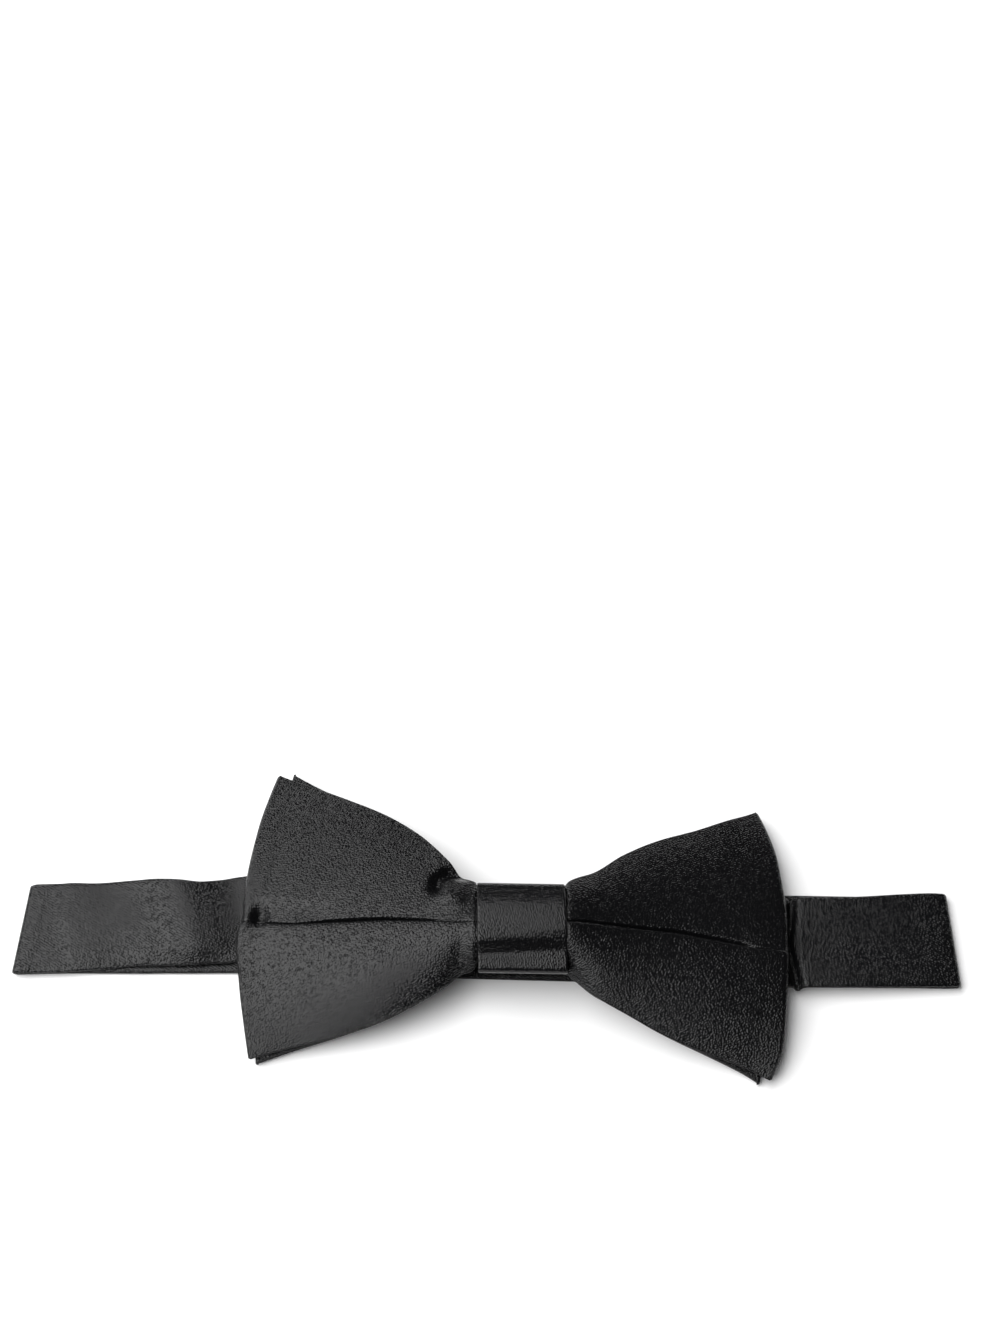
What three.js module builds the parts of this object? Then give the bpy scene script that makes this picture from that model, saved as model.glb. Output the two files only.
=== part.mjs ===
// A pre-tied bow tie of black satin, lying face up with its neck band closed and pressed flat.
// Millimetres, +X along the band to the wearer's left as seen from the front, +Z up.
// Five solids: the band's whole loop, the clasp hidden on it, the rear leaf of the bow, the front
// bow (one strip looped into two hollow wings) and the wrap that is the knot. The shapes are first
// laid out about the middle of the knot. At the end all of it is moved so that the origin is the
// middle of the bounding box at its underside.

import * as THREE from 'three';

// Driving dimensions
const CLEARANCE = 0.3;
const DRAPE_CLEARANCE = 0.65;
const BAND_WIDTH = 22.0;
const BAND_WALL = 1.4;
const BAND_LEFT_END = -109.0;
const BAND_RIGHT_END = 95.0;
const REAR_LEAF_WALL = 1.8;
const BOW_WALL = 1.4;
const KNOT_WALL = 1.2;
const KNOT_WIDTH = 19.2;
const CLASP_SIZE = { length: 12.0, width: 20.0, height: 2.0, corner: 1.2 };
const CLASP_X = -46.0;

// Distance between the middles of the front bow's two leaves where they lie closest
const LEAF_SEPARATION = BOW_WALL + 0.5;

// The band's own course: heights of the middle of its upper run, how far the middle line of each
// run wanders across, and half of the upper run's width, which the knot gathers
const BAND_RUN = [
  { x: -109.0, height: 3.2, across: -1.9, acrossLow: -1.6, half: 11.0 },
  { x: -106.6, height: 3.9, across: -1.8, acrossLow: -1.5, half: 11.0 },
  { x: -102.4, height: 2.7, across: -1.7, acrossLow: -1.0, half: 11.0 },
  { x: -96.0, height: 2.7, across: -1.5, acrossLow: -0.5, half: 11.0 },
  { x: -80.0, height: 3.5, across: -1.0, acrossLow: 0.4, half: 11.0 },
  { x: -57.0, height: 4.9, across: -0.6, acrossLow: 0.8, half: 11.0 },
  { x: -30.0, height: 6.3, across: -1.2, acrossLow: 0.6, half: 10.8 },
  { x: -16.0, height: 6.8, across: -2.6, acrossLow: 0.4, half: 9.6 },
  { x: -9.0, height: 6.8, across: -3.6, acrossLow: 0.3, half: 7.6 },
  { x: 0.0, height: 6.8, across: -3.6, acrossLow: 0.2, half: 7.5 },
  { x: 9.0, height: 6.8, across: -3.6, acrossLow: 0.1, half: 7.6 },
  { x: 16.0, height: 6.8, across: -3.0, acrossLow: 0.0, half: 9.6 },
  { x: 30.0, height: 6.3, across: -2.9, acrossLow: -0.1, half: 10.8 },
  { x: 57.0, height: 4.9, across: -2.9, acrossLow: -0.3, half: 11.0 },
  { x: 76.0, height: 3.6, across: -1.9, acrossLow: -0.5, half: 11.0 },
  { x: 86.0, height: 3.0, across: -1.2, acrossLow: -0.6, half: 11.0 },
  { x: 92.0, height: 3.7, across: -0.8, acrossLow: -0.7, half: 11.0 },
  { x: 95.0, height: 3.2, across: -0.7, acrossLow: -0.7, half: 11.0 },
];

// The front bow, a row for each section across it: where its upper edge, pleat and lower edge
// run, how high the cloth beneath each edge lies, and how far each half puffs up
const BOW_SECTIONS = [
  { x: -60.0, top: 38.8, pleat: -3.6, bottom: -32.2, lieTop: 1.3, lieBottom: 1.3, puffTop: 0.6, puffBottom: 0.6 },
  { x: -56.0, top: 36.7, pleat: -3.8, bottom: -30.9, lieTop: 1.6, lieBottom: 1.5, puffTop: 1.4, puffBottom: 1.5 },
  { x: -48.0, top: 33.3, pleat: -4.2, bottom: -29.6, lieTop: 2.6, lieBottom: 2.0, puffTop: 2.6, puffBottom: 2.8 },
  { x: -39.0, top: 29.1, pleat: -3.9, bottom: -27.9, lieTop: 3.8, lieBottom: 2.8, puffTop: 3.4, puffBottom: 3.6 },
  { x: -30.0, top: 24.2, pleat: -3.6, bottom: -25.1, lieTop: 5.2, lieBottom: 3.8, puffTop: 3.8, puffBottom: 3.8 },
  { x: -22.0, top: 18.2, pleat: -3.8, bottom: -21.5, lieTop: 6.7, lieBottom: 5.4, puffTop: 3.6, puffBottom: 3.4 },
  { x: -15.5, top: 11.3, pleat: -4.0, bottom: -18.0, lieTop: 8.2, lieBottom: 7.2, puffTop: 3.2, puffBottom: 3.0 },
  { x: -11.5, top: 6.9, pleat: -4.1, bottom: -15.4, lieTop: 8.6, lieBottom: 8.2, puffTop: 2.4, puffBottom: 2.3 },
  { x: -9.9, top: 4.2, pleat: -4.0, bottom: -11.6, lieTop: 8.7, lieBottom: 8.7, puffTop: 1.2, puffBottom: 1.2 },
  { x: 0.0, top: 4.0, pleat: -3.6, bottom: -11.2, lieTop: 8.7, lieBottom: 8.7, puffTop: 0.7, puffBottom: 0.7 },
  { x: 9.9, top: 4.3, pleat: -3.4, bottom: -11.6, lieTop: 8.7, lieBottom: 8.7, puffTop: 1.2, puffBottom: 1.2 },
  { x: 12.0, top: 6.9, pleat: -3.7, bottom: -15.9, lieTop: 8.6, lieBottom: 8.2, puffTop: 2.5, puffBottom: 2.4 },
  { x: 16.0, top: 8.7, pleat: -4.2, bottom: -19.4, lieTop: 8.4, lieBottom: 7.0, puffTop: 3.4, puffBottom: 3.2 },
  { x: 22.6, top: 13.8, pleat: -4.8, bottom: -22.7, lieTop: 7.4, lieBottom: 5.4, puffTop: 3.8, puffBottom: 3.6 },
  { x: 30.5, top: 18.1, pleat: -5.4, bottom: -26.6, lieTop: 6.2, lieBottom: 3.8, puffTop: 4.0, puffBottom: 3.8 },
  { x: 39.5, top: 22.1, pleat: -6.7, bottom: -29.9, lieTop: 4.4, lieBottom: 2.6, puffTop: 3.6, puffBottom: 3.4 },
  { x: 48.5, top: 26.2, pleat: -8.1, bottom: -32.4, lieTop: 2.8, lieBottom: 1.8, puffTop: 2.6, puffBottom: 2.6 },
  { x: 53.5, top: 28.5, pleat: -8.5, bottom: -33.8, lieTop: 1.7, lieBottom: 1.4, puffTop: 1.5, puffBottom: 1.5 },
  { x: 58.0, top: 30.4, pleat: -8.7, bottom: -34.8, lieTop: 1.4, lieBottom: 1.3, puffTop: 0.6, puffBottom: 0.6 },
];

// How far out each wing's outer fold reaches, from the lower corner (-1) by the pleat (0) to
// the upper corner (+1)
const OUTER_FOLD = [
  { across: -1.0, left: 56.0, right: 52.4 },
  { across: -0.75, left: 57.3, right: 54.6 },
  { across: -0.45, left: 58.9, right: 56.3 },
  { across: -0.1, left: 60.1, right: 57.1 },
  { across: 0.06, left: 59.1, right: 57.3 },
  { across: 0.3, left: 59.4, right: 57.4 },
  { across: 0.6, left: 58.5, right: 56.9 },
  { across: 0.85, left: 57.0, right: 55.4 },
  { across: 1.0, left: 55.9, right: 54.2 },
];

// The rear leaf ends inside the front bow's outer folds, and stands past its long edges or stays
// inside them, by these amounts at its corners
const REAR_LEAF = {
  left: { inset: 2.6, top: 2.3, bottom: -0.2 },
  right: { inset: 2.6, top: 0.6, bottom: 0.9 },
};

// Dents and swellings pressed into the front leaves: where each is, how high it stands above
// (or, below zero, how deep it sinks into) the puffed cloth, and its half widths
const DENTS = [
  { x: -15.6, y: 7.6, rise: -1.5, halfLength: 3.2, halfWidth: 1.9 },
  { x: -19.2, y: 2.6, rise: -1.1, halfLength: 1.7, halfWidth: 3.4 },
  { x: -13.6, y: 2.2, rise: 0.9, halfLength: 2.4, halfWidth: 2.6 },
  { x: -56.2, y: -0.9, rise: -0.7, halfLength: 1.8, halfWidth: 1.8 },
  { x: -48.0, y: -1.0, rise: -0.8, halfLength: 6.0, halfWidth: 1.8 },
  { x: -15.0, y: -11.0, rise: -0.7, halfLength: 1.6, halfWidth: 2.6 },
  { x: 15.0, y: -8.5, rise: -0.6, halfLength: 2.0, halfWidth: 2.4 },
];

// The knot's own section, looking along +X: the middle of its wall, from the underside at the
// back, under the near edge and over the crown
const KNOT_SECTION = [
  { across: 3.0, height: 4.9 },
  { across: -10.2, height: 4.9 },
  { across: -12.4, height: 6.2 },
  { across: -13.0, height: 8.8 },
  { across: -12.9, height: 11.8 },
  { across: -11.8, height: 14.4 },
  { across: -9.0, height: 15.9 },
  { across: -5.0, height: 16.9 },
  { across: -0.8, height: 16.9 },
  { across: 3.2, height: 15.8 },
  { across: 5.5, height: 13.5 },
  { across: 6.0, height: 10.0 },
  { across: 5.3, height: 6.2 },
];

// Reads one column of a table at a place along it, on a smooth curve through its rows
function column(rows, key, name, place) {
  const last = rows.length - 1;
  const clamped = Math.min(Math.max(place, rows[0][key]), rows[last][key]);
  let i = 0;
  while (i < last - 1 && clamped > rows[i + 1][key]) {
    i += 1;
  }
  const slope = (a, b) => (rows[b][name] - rows[a][name]) / (rows[b][key] - rows[a][key]);
  const span = rows[i + 1][key] - rows[i][key];
  const chord = slope(i, i + 1);
  const before = i > 0 ? slope(i - 1, i) : chord;
  const after = i + 2 <= last ? slope(i + 1, i + 2) : chord;
  const start = before * chord > 0 ? (2 * before * chord) / (before + chord) : 0;
  const end = after * chord > 0 ? (2 * after * chord) / (after + chord) : 0;
  const t = (clamped - rows[i][key]) / span;
  const rise = rows[i + 1][name] - rows[i][name];
  const ease = t * t * (3 - 2 * t);
  const bend = span * t * (1 - t) * (start * (1 - t) - end * t);
  return rows[i][name] + rise * ease + bend;
}

const section = (name, x) => column(BOW_SECTIONS, 'x', name, x);
const bandRun = (name, x) => column(BAND_RUN, 'x', name, x);

// Closes two facing grids of points into one solid. Grids are lists of columns, each a list of
// points, and a looped grid's last column meets its first.
function solidBetween(outer, inner, looped) {
  const columns = outer.length;
  const rows = outer[0].length;
  const positions = [];
  for (const grid of [outer, inner]) {
    for (const points of grid) {
      for (const point of points) {
        positions.push(point.x, point.y, point.z);
      }
    }
  }
  const innerStart = columns * rows;
  const at = (side, i, j) => side * innerStart + (i % columns) * rows + j;
  const indices = [];
  const quad = (a, b, c, d) => indices.push(a, b, c, a, c, d);
  const spans = looped ? columns : columns - 1;
  for (let i = 0; i < spans; i += 1) {
    for (let j = 0; j < rows - 1; j += 1) {
      quad(at(0, i, j), at(0, i + 1, j), at(0, i + 1, j + 1), at(0, i, j + 1));
      quad(at(1, i, j), at(1, i, j + 1), at(1, i + 1, j + 1), at(1, i + 1, j));
    }
    quad(at(0, i, 0), at(1, i, 0), at(1, i + 1, 0), at(0, i + 1, 0));
    quad(at(0, i, rows - 1), at(0, i + 1, rows - 1), at(1, i + 1, rows - 1), at(1, i, rows - 1));
  }
  if (!looped) {
    const end = columns - 1;
    for (let j = 0; j < rows - 1; j += 1) {
      quad(at(0, 0, j), at(0, 0, j + 1), at(1, 0, j + 1), at(1, 0, j));
      quad(at(0, end, j), at(1, end, j), at(1, end, j + 1), at(0, end, j + 1));
    }
  }
  return facingOut(positions, indices);
}

// Makes the geometry, turning its faces round where they enclose a negative volume
function facingOut(positions, indices) {
  const corner = (k) => new THREE.Vector3().fromArray(positions, indices[k] * 3);
  let volume = 0;
  for (let k = 0; k < indices.length; k += 3) {
    volume += corner(k).dot(corner(k + 1).cross(corner(k + 2))) / 6;
  }
  if (volume < 0) {
    indices.reverse();
  }
  const geometry = new THREE.BufferGeometry();
  geometry.setAttribute('position', new THREE.Float32BufferAttribute(positions, 3));
  geometry.setIndex(indices);
  geometry.computeVertexNormals();
  return geometry;
}

// Moves a line of points sideways by a distance, in the plane of the two named axes. A looped
// line's ends look past each other, and a positive distance is to the left of the way it runs.
function offsetLine(line, distance, across, up, looped) {
  const count = line.length;
  const neighbour = (i) => {
    if (looped) {
      return line[(i + count) % count];
    }
    return line[Math.min(Math.max(i, 0), count - 1)];
  };
  return line.map((point, i) => {
    const run = neighbour(i + 1).clone().sub(neighbour(i - 1));
    const length = Math.hypot(run[across], run[up]);
    const moved = point.clone();
    moved[across] -= (distance * run[up]) / length;
    moved[up] += (distance * run[across]) / length;
    return moved;
  });
}

// Height of the middle of the rear leaf: level on the band, and drooping past its edges
function rearLeafHeight(x, y) {
  const level = bandRun('height', x) + (BAND_WALL + REAR_LEAF_WALL) / 2 + CLEARANCE;
  const isTop = y > section('pleat', x);
  const lie = section(isTop ? 'lieTop' : 'lieBottom', x);
  const edge = section(isTop ? 'top' : 'bottom', x);
  const bandEdge = bandRun('across', x) + (isTop ? 1 : -1) * bandRun('half', x);
  const reach = Math.abs(edge) - Math.abs(bandEdge);
  if (reach <= 0) {
    return level;
  }
  const past = Math.min(Math.max((Math.abs(y) - Math.abs(bandEdge)) / reach, 0), 1.05);
  return level + (lie - level) * past ** 1.5;
}

// The neck band: its lower run flat on the surface, a rolled fold at each end, the upper run
function neckBand() {
  const flat = BAND_WALL / 2;
  const middle = [];
  const runSteps = 12;
  const inset = 2.0;
  for (let i = 0; i <= runSteps; i += 1) {
    const share = i / runSteps;
    const x = THREE.MathUtils.lerp(BAND_LEFT_END + inset + flat, BAND_RIGHT_END - inset - flat, share);
    middle.push(new THREE.Vector3(x, 0, flat));
  }
  roundFold(middle, BAND_RIGHT_END - inset - flat, inset, 1);
  const upper = BAND_RUN.slice(2, -2).flatMap((row, i, rows) => {
    const next = rows[i + 1];
    return next && next.x - row.x > 12 ? [row.x, (row.x + next.x) / 2] : [row.x];
  });
  for (const x of upper.reverse()) {
    middle.push(new THREE.Vector3(x, 0, bandRun('height', x)));
  }
  roundFold(middle, BAND_LEFT_END + inset + flat, inset, -1);
  const outerLine = offsetLine(middle, -flat, 'x', 'z', true);
  const innerLine = offsetLine(middle, flat, 'x', 'z', true);
  const spread = (line) => line.map((point, i) => {
    const isUpper = middle[i].z > BAND_WALL;
    const half = isUpper ? bandRun('half', middle[i].x) : BAND_WIDTH / 2;
    const across = bandRun(isUpper ? 'across' : 'acrossLow', middle[i].x);
    return [-1, -0.5, 0, 0.5, 1].map((side) => new THREE.Vector3(point.x, across + side * half, point.z));
  });
  return solidBetween(spread(outerLine), spread(innerLine), true);
}

// Adds the half turn of an end fold to the band's middle line
function roundFold(middle, centreX, reach, side) {
  const low = BAND_WALL / 2;
  const high = bandRun('height', centreX);
  const steps = 8;
  for (let i = 1; i < steps; i += 1) {
    const angle = side * (-Math.PI / 2 + (Math.PI * i) / steps);
    const height = (low + high) / 2 + ((high - low) / 2) * Math.sin(angle);
    middle.push(new THREE.Vector3(centreX + side * reach * Math.cos(angle), 0, height));
  }
}

// Places across a wing, from its lower edge (-1) by the pleat (0) to its upper edge (+1)
const ACROSS = [-1, -0.86, -0.7, -0.52, -0.34, -0.18, -0.08, 0, 0.08, 0.18, 0.34, 0.52, 0.7, 0.86, 1];

// Places along the bow, as shares of its half length: the knot reaches to 0.16
const BOW_HALF_LENGTH = 60.0;
const ALONG = [0, 0.09, 0.165, 0.19, 0.225, 0.265, 0.31, 0.37, 0.45, 0.55, 0.66, 0.77, 0.86, 0.93, 0.97, 1];
const ALONG_BOTH = [...ALONG.slice(1).reverse().map((along) => -along), ...ALONG];

// A point of the bow's plan, with how far out of the wing it is
function planPoint(along, across, inset = 0) {
  const reach = column(OUTER_FOLD, 'across', along < 0 ? 'left' : 'right', across) - inset;
  const x = along * (BOW_HALF_LENGTH - (BOW_HALF_LENGTH - reach) * Math.abs(along) ** 1.5);
  const pleat = section('pleat', x);
  const edge = section(across < 0 ? 'bottom' : 'top', x);
  return { x, y: pleat + Math.abs(across) * (edge - pleat) };
}

// How far the front leaf stands above the back leaf, between the middles of their walls. The
// lower half rises steeply from the pleat, which it overhangs, and the upper half more gently.
function leafSeparation(along, across, plan) {
  const half = Math.abs(across);
  const puff = section(across < 0 ? 'puffBottom' : 'puffTop', plan.x);
  const knotShare = Math.max(0, 1 - Math.abs(along) / 0.19);
  const swell = Math.sin(Math.PI * half ** (across < 0 ? 0.66 : 0.85)) * puff;
  const waistCrown = 1.3 * knotShare * (1 - half * half);
  const dents = DENTS.reduce((sum, dent) => {
    const away = ((plan.x - dent.x) / dent.halfLength) ** 2 + ((plan.y - dent.y) / dent.halfWidth) ** 2;
    return sum + dent.rise * Math.exp(-away);
  }, 0);
  return LEAF_SEPARATION + Math.max(0, swell * (1 - 0.55 * Math.abs(along) ** 6) + waistCrown + dents);
}

// The front bow: one strip that runs out along the front leaf, round the outer fold and back
function frontBow() {
  const lift = (REAR_LEAF_WALL + BOW_WALL) / 2 + DRAPE_CLEARANCE;
  const foldSteps = 4;
  const lines = ACROSS.map((across) => {
    const front = [];
    const back = [];
    for (const along of ALONG_BOTH) {
      const plan = planPoint(along, across);
      const base = rearLeafHeight(plan.x, plan.y) + lift;
      const fold = LEAF_SEPARATION / 2;
      const x = plan.x - Math.sign(along) * (fold + BOW_WALL / 2) * Math.abs(along) ** 8;
      front.push(new THREE.Vector3(x, plan.y, base + leafSeparation(along, across, plan)));
      back.push(new THREE.Vector3(x, plan.y, base));
    }
    const line = [...front];
    line.push(...foldBetween(front.at(-1), back.at(-1), 1, foldSteps));
    line.push(...back.reverse());
    line.push(...foldBetween(back.at(-1), front[0], -1, foldSteps));
    return line;
  });
  return gridSolid(lines, BOW_WALL);
}

// The half circle of an outer fold, from one leaf's end to the other's
function foldBetween(from, to, side, steps) {
  const centre = from.clone().lerp(to, 0.5);
  const radius = Math.abs(from.z - to.z) / 2;
  const turn = from.z > to.z ? 1 : -1;
  const points = [];
  for (let i = 1; i < steps; i += 1) {
    const angle = (Math.PI * i) / steps;
    const x = centre.x + side * radius * Math.sin(angle);
    points.push(new THREE.Vector3(x, centre.y, centre.z + turn * radius * Math.cos(angle)));
  }
  return points;
}

// Gives looped lines, a line for each place across, a wall and closes them into one solid
function gridSolid(lines, wall) {
  const columnsOf = (moved) => moved[0].map((_, i) => moved.map((line) => line[i]));
  const outer = lines.map((line) => offsetLine(line, wall / 2, 'x', 'z', true));
  const inner = lines.map((line) => offsetLine(line, -wall / 2, 'x', 'z', true));
  return solidBetween(columnsOf(outer), columnsOf(inner), true);
}

// The rear leaf: a flat folded strip that drapes over the band behind the front bow
function rearBow() {
  const leaf = (side) => ALONG_BOTH.map((along) => ACROSS.map((across) => {
    const wing = Math.abs(along);
    const stand = along < 0 ? REAR_LEAF.left : REAR_LEAF.right;
    const plan = planPoint(along, across, stand.inset * wing ** 4);
    const beyond = across > 0 ? stand.top : -stand.bottom;
    const outward = Math.max(0, wing - 0.24) / 0.76;
    const y = plan.y + beyond * outward * Math.abs(across) ** 6;
    const height = rearLeafHeight(plan.x, plan.y);
    return new THREE.Vector3(plan.x, y, height + (side * REAR_LEAF_WALL) / 2);
  }));
  return solidBetween(leaf(1), leaf(-1), false);
}

// The knot: a short strip wrapped round the waist of the bow and the band's upper run
function knotWrap() {
  const centre = bandRun('across', 0);
  const points = KNOT_SECTION.map((row) => new THREE.Vector3(0, row.across, row.height));
  const curve = new THREE.CatmullRomCurve3(points, true, 'centripetal');
  const middle = curve.getSpacedPoints(36).slice(0, -1);
  const outward = offsetLine(middle, -KNOT_WALL / 2, 'y', 'z', true);
  const inward = offsetLine(middle, KNOT_WALL / 2, 'y', 'z', true);
  const stations = [-1, -0.8, -0.4, 0, 0.4, 0.8, 1];
  const sweep = (line) => line.map((point) => stations.map((station) => {
    const lean = 0.35 * (point.y - centre) / 10;
    const flare = 1 + 0.02 * station ** 4;
    const y = centre + (point.y - centre) * flare;
    return new THREE.Vector3(station * (KNOT_WIDTH / 2) + lean, y, point.z);
  }));
  return solidBetween(sweep(outward), sweep(inward), true);
}

// The clasp: a plain plate with rounded corners on the band's lower run, hidden by the bow
function bandClasp() {
  const { length, width, height, corner } = CLASP_SIZE;
  const outline = new THREE.Shape();
  outline.moveTo(-length / 2 + corner, -width / 2);
  outline.lineTo(length / 2 - corner, -width / 2);
  outline.absarc(length / 2 - corner, -width / 2 + corner, corner, -Math.PI / 2, 0);
  outline.absarc(length / 2 - corner, width / 2 - corner, corner, 0, Math.PI / 2);
  outline.absarc(-length / 2 + corner, width / 2 - corner, corner, Math.PI / 2, Math.PI);
  outline.absarc(-length / 2 + corner, -width / 2 + corner, corner, Math.PI, 1.5 * Math.PI);
  const settings = { depth: height, bevelEnabled: false, curveSegments: 4 };
  return new THREE.ExtrudeGeometry(outline, settings);
}

const satin = (color, roughness) => new THREE.MeshStandardMaterial({ color, roughness, metalness: 0 });

const neckBandMesh = new THREE.Mesh(neckBand(), satin(0x151517, 0.5));
neckBandMesh.name = 'neck_band';

const rearBowMesh = new THREE.Mesh(rearBow(), satin(0x121214, 0.5));
rearBowMesh.name = 'rear_bow';

const frontBowMesh = new THREE.Mesh(frontBow(), satin(0x17171a, 0.45));
frontBowMesh.name = 'front_bow';

const knotWrapMesh = new THREE.Mesh(knotWrap(), satin(0x17171a, 0.45));
knotWrapMesh.name = 'knot_wrap';

const steel = new THREE.MeshStandardMaterial({ color: 0x2a2a2c, roughness: 0.4, metalness: 0.8 });
const bandClaspMesh = new THREE.Mesh(bandClasp(), steel);
bandClaspMesh.name = 'band_clasp';
bandClaspMesh.position.set(CLASP_X, bandRun('acrossLow', CLASP_X), BAND_WALL + CLEARANCE);

const bowTie = new THREE.Group();
bowTie.add(neckBandMesh, rearBowMesh, frontBowMesh, knotWrapMesh, bandClaspMesh);

// The origin is the middle of the bounding box, at its underside
const bounds = new THREE.Box3().setFromObject(bowTie);
const middle = bounds.getCenter(new THREE.Vector3());
bowTie.position.set(-middle.x, -middle.y, -bounds.min.z);

export default bowTie;
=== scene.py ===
"""A pre-tied bow tie of black satin, lying face up on its closed neck band.

The sizes are in millimetres about the middle of the knot, with +X along the band, +Y away from
the bow's lower edge and +Z up. Placing a piece turns them to metres in the shared frame.
"""

from __future__ import annotations

import logging
import math
from dataclasses import dataclass
from enum import Enum

import bpy
import numpy as np
from bpy.types import Material, Mesh, Node, NodeSocket, NodeTree, Object
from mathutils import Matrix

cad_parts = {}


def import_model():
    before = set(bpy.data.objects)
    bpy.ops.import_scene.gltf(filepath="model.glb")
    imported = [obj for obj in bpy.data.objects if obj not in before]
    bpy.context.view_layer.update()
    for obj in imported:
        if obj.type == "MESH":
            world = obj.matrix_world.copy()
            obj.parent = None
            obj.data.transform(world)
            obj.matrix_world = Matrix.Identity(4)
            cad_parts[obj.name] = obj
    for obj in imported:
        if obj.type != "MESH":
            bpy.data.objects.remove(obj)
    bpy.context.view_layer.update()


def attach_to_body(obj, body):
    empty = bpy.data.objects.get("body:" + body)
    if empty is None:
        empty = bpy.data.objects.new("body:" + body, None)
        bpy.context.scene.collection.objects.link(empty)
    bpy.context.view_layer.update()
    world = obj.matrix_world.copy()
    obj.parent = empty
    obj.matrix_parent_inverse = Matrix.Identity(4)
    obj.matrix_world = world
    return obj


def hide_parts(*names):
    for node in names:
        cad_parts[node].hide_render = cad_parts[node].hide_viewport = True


log = logging.getLogger("bow_tie")

Array = np.ndarray

MILLIMETRE = 0.001
KNOT_PLACE = np.array([7.0, -2.0701, 0.0])
# A wave texture at scale 1 repeats after this length
WAVE_PERIOD = 0.31416
# A direction's share along the height from which it counts as upright
UPRIGHT = 0.9


class Held(Enum):
    """How a sheet of cloth is kept in its shape."""

    FOLDED = "folded"
    GATHERED = "gathered"


class Slot(Enum):
    """The record's material slots."""

    BAND = "band_satin"
    BOW = "bow_satin"
    KNOT = "knot_satin"
    CLASP = "clasp_metal"


# Reading measured sizes


def ramp(value: Array, start: float, end: float) -> Array:
    """Rises evenly from 0 at the start to 1 at the end, and is level beyond them."""
    return np.clip((value - start) / (end - start), 0, 1)


def eased(share: Array) -> Array:
    """Makes an even rise from 0 to 1 set off and end softly."""
    return share * share * (3 - 2 * share)


@dataclass(frozen=True)
class Profile:
    """Rows of measured sizes, read on a smooth curve that passes through each row."""

    columns: tuple[str, ...]
    rows: tuple[tuple[float, ...], ...]

    def read(self, name: str, place: Array | float) -> Array:
        """Reads one column at places along the first one.

        Args:
            name: The column to read.
            place: Where to read it, in the units of the first column.

        Returns:
            The sizes at those places.
        """
        table = np.array(self.rows)
        xs = table[:, 0]
        ys = table[:, self.columns.index(name)]
        spans = np.diff(xs)
        chords = np.diff(ys) / spans
        slopes = np.concatenate([chords[:1], chords])
        after = np.concatenate([chords, chords[-1:]])
        same_way = slopes * after > 0
        total = np.where(same_way, slopes + after, 1.0)
        slopes = np.where(same_way, 2 * slopes * after / total, 0.0)
        held = np.clip(np.asarray(place, dtype=float), xs[0], xs[-1])
        i = np.clip(np.searchsorted(xs, held, side="left") - 1, 0, len(spans) - 1)
        t = (held - xs[i]) / spans[i]
        bend = spans[i] * t * (1 - t) * (slopes[i] * (1 - t) - slopes[i + 1] * t)
        return ys[i] + (ys[i + 1] - ys[i]) * eased(t) + bend


@dataclass(frozen=True)
class Crease:
    """A soft valley or ridge along a line on the cloth, fading over a share of it at each end."""

    points: tuple[tuple[float, float], ...]
    rise: float
    half_width: float
    taper: float = 0.25

    def lift(self, x: Array, y: Array) -> Array:
        """Finds the height that the crease adds to the cloth.

        Args:
            x: Where to find it, on the cloth's plan.
            y: The same places' y.

        Returns:
            The heights to add.
        """
        line = np.array(self.points)
        lengths = np.hypot(*np.diff(line, axis=0).T)
        starts = np.concatenate([[0.0], np.cumsum(lengths)])
        best = np.full(np.shape(x), np.inf)
        share = np.zeros(np.shape(x))
        for i, length in enumerate(lengths):
            step = (line[i + 1] - line[i]) / length
            along = np.clip((x - line[i, 0]) * step[0] + (y - line[i, 1]) * step[1], 0, length)
            away = np.hypot(x - line[i, 0] - along * step[0], y - line[i, 1] - along * step[1])
            share = np.where(away < best, (starts[i] + along) / starts[-1], share)
            best = np.minimum(away, best)
        fade = 1.0
        if self.taper > 0:
            fade = eased(ramp(np.minimum(share, 1 - share), 0, self.taper))
        return self.rise * fade * np.exp(-((best / self.half_width) ** 2))


@dataclass(frozen=True)
class Dent:
    """A round or oval swelling of the cloth, or below zero a hollow."""

    x: float
    y: float
    rise: float
    half_length: float
    half_width: float

    def lift(self, x: Array, y: Array) -> Array:
        """Finds the height that the dent adds to the cloth at places of its plan."""
        away = ((x - self.x) / self.half_length) ** 2 + ((y - self.y) / self.half_width) ** 2
        return self.rise * np.exp(-away)


# Making cloth


def offset_loop(lines: Array, distance: float, across: int) -> Array:
    """Moves closed lines sideways, in the upright plane of one axis.

    Args:
        lines: Points as (place on the line, row, axis), each row a closed line.
        distance: How far to move them, to the left of the way they run.
        across: The plane's axis across the floor.

    Returns:
        The moved points.
    """
    run = np.roll(lines, -1, axis=0) - np.roll(lines, 1, axis=0)
    length = np.hypot(run[..., across], run[..., 2])
    moved = lines.copy()
    moved[..., across] -= distance * run[..., 2] / length
    moved[..., 2] += distance * run[..., across] / length
    return moved


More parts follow.
